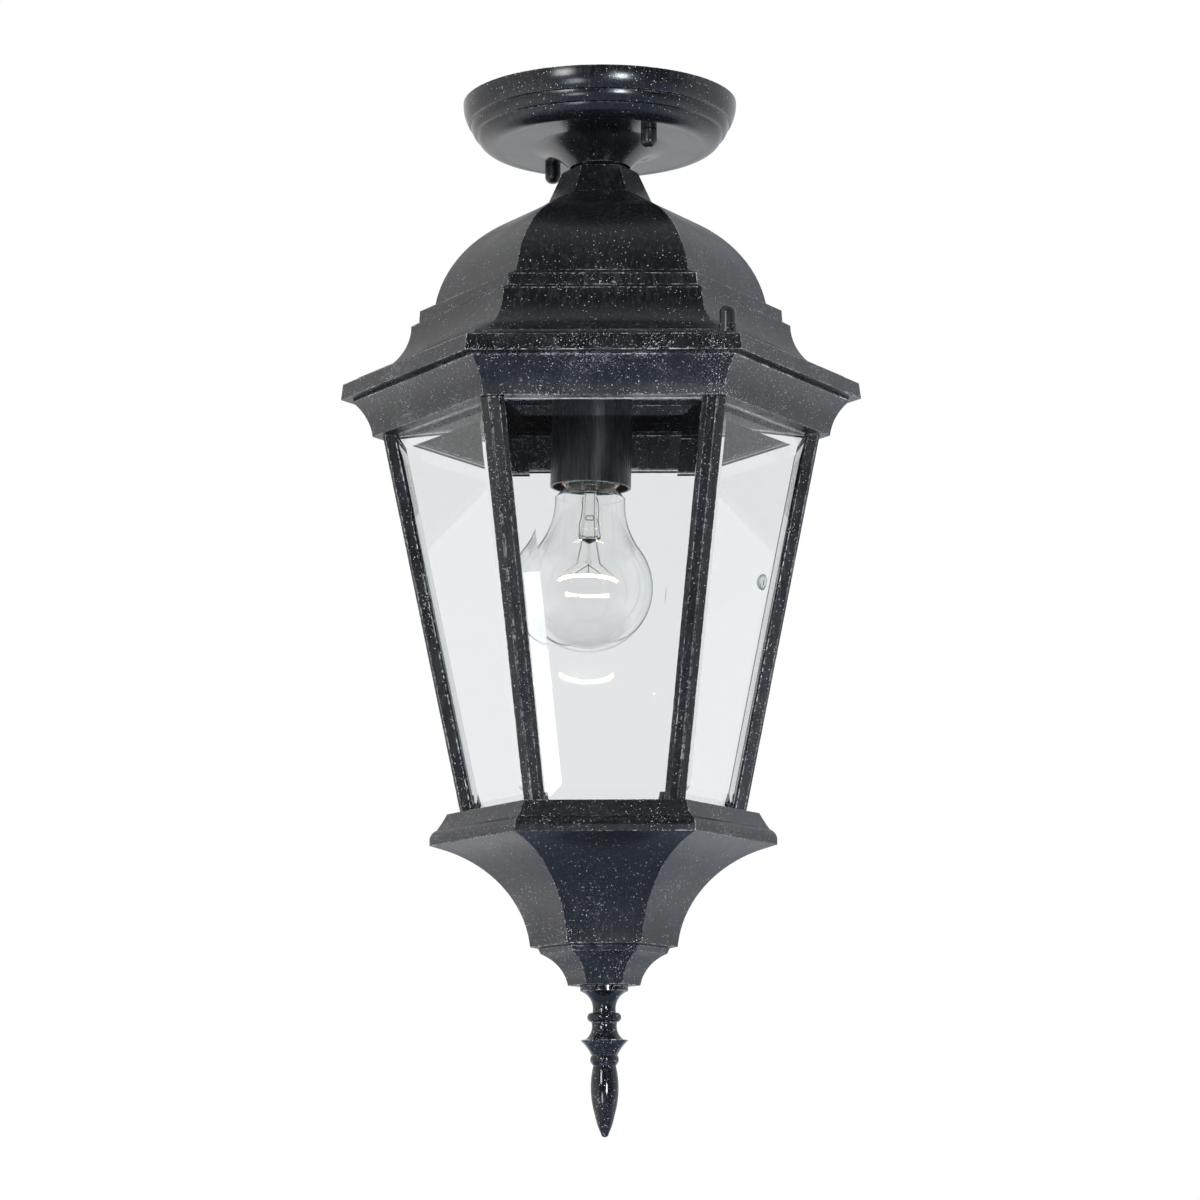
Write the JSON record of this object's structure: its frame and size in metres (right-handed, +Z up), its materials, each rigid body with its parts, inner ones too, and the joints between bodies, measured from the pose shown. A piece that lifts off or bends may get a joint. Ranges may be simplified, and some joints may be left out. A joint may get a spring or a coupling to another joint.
{
  "type": "porch ceiling lantern",
  "caption": "Black flush-mount hexagonal porch lantern: round stepped canopy, domed roof, tapering bevelled glass cage, clear bulb, cup and turned finial.",
  "frame": {"origin": "centre of the box screw pattern on the mounting plate's upper face, in the ceiling plane", "axes": "+Z up out of the ceiling face, +X to the right and through a corner of the hexagon, +Y into the picture, so the front flat faces -Y"},
  "size_m": [0.2572, 0.2228, 0.5117],
  "materials": {
    "cast_black": "satin black paint on cast metal, with fine silver-grey flecks and worn edges",
    "nut_black": "smooth semi-gloss black",
    "plated_steel": "bright zinc plate",
    "ground_green": "green dyed plate",
    "holder_black": "semi-gloss black",
    "holder_porcelain": "unglazed white",
    "holder_copper": "copper-coloured",
    "bulb_cap_metal": "bright",
    "bulb_cap_glass": "black insulator glass",
    "bulb_clear": "clear",
    "bulb_wire": "plain wire",
    "bulb_filament": "tungsten, lit",
    "pane_clear": "clear, bevelled edges"
  },
  "bodies": {
    "fixture": {"mounting_plate": "plated_steel", "plate_stud_front": "plated_steel", "plate_stud_back": "plated_steel", "ground_screw": "ground_green", "canopy": "cast_black", "stem_nipple": "plated_steel", "stem_washer_upper": "plated_steel", "stem_locknut_upper": "plated_steel", "stem_washer_lower": "plated_steel", "stem_locknut_lower": "plated_steel", "roof": "cast_black", "socket_cap": "holder_black", "socket_body": "holder_black", "socket_core": "holder_porcelain", "socket_shell": "holder_copper", "socket_contact": "holder_copper"},
    "canopy_nut_front": {"canopy_cap_nut_front": "nut_black"},
    "canopy_nut_back": {"canopy_cap_nut_back": "nut_black"},
    "roof_nut_right": {"roof_cap_nut_right": "nut_black"},
    "roof_nut_left": {"roof_cap_nut_left": "nut_black"},
    "bulb": {"bulb_base": "bulb_cap_metal", "bulb_insulator": "bulb_cap_glass", "bulb_contact": "bulb_cap_metal", "bulb_glass": "bulb_clear", "bulb_stem": "bulb_clear", "bulb_leads": "bulb_wire", "bulb_filament": "bulb_filament"},
    "cage": {"cage_top_ring": "cast_black", "cage_stud_right": "plated_steel", "cage_stud_left": "plated_steel", "corner_post_1": "cast_black", "corner_post_2": "cast_black", "corner_post_3": "cast_black", "corner_post_4": "cast_black", "corner_post_5": "cast_black", "corner_post_6": "cast_black", "glass_pane_1": "pane_clear", "glass_pane_2": "pane_clear", "glass_pane_3": "pane_clear", "glass_pane_4": "pane_clear", "glass_pane_5": "pane_clear", "glass_pane_6": "pane_clear", "glass_clip_1": "plated_steel", "glass_clip_2": "plated_steel", "glass_clip_3": "plated_steel", "glass_clip_4": "plated_steel", "glass_clip_5": "plated_steel", "glass_clip_6": "plated_steel", "clip_screw_1": "plated_steel", "clip_screw_2": "plated_steel", "clip_screw_3": "plated_steel", "clip_screw_4": "plated_steel", "clip_screw_5": "plated_steel", "clip_screw_6": "plated_steel", "post_screws_top": "plated_steel", "post_screws_foot": "plated_steel", "bottom_cup": "cast_black", "finial_stud": "plated_steel", "finial_nut": "plated_steel"},
    "finial": {"finial": "cast_black"}
  },
  "joints": [
    {"name": "cage_drop", "type": "slide", "parent": "fixture", "child": "cage", "axis": [0, 0, -1], "range_m": [0, 0.18]},
    {"name": "canopy_nut_front_turn", "type": "hinge", "parent": "fixture", "child": "canopy_nut_front", "pos_m": [0.02369, -0.03297, -0.026], "axis": [0, 0, -1], "continuous": true},
    {"name": "canopy_nut_back_turn", "type": "hinge", "parent": "fixture", "child": "canopy_nut_back", "pos_m": [-0.02369, 0.03297, -0.026], "axis": [0, 0, -1], "continuous": true},
    {"name": "roof_nut_right_turn", "type": "hinge", "parent": "fixture", "child": "roof_nut_right", "pos_m": [0.0584, -0.10115, -0.132], "axis": [0, 0, 1], "continuous": true},
    {"name": "roof_nut_left_turn", "type": "hinge", "parent": "fixture", "child": "roof_nut_left", "pos_m": [-0.0584, 0.10115, -0.132], "axis": [0, 0, 1], "continuous": true},
    {"name": "bulb_turn", "type": "hinge", "parent": "fixture", "child": "bulb", "pos_m": [0, 0, -0.02], "axis": [-0.0314, 0, -0.9995], "continuous": true},
    {"name": "finial_turn", "type": "hinge", "parent": "cage", "child": "finial", "pos_m": [0, 0, -0.45], "axis": [0, 0, -1], "continuous": true}
  ]
}
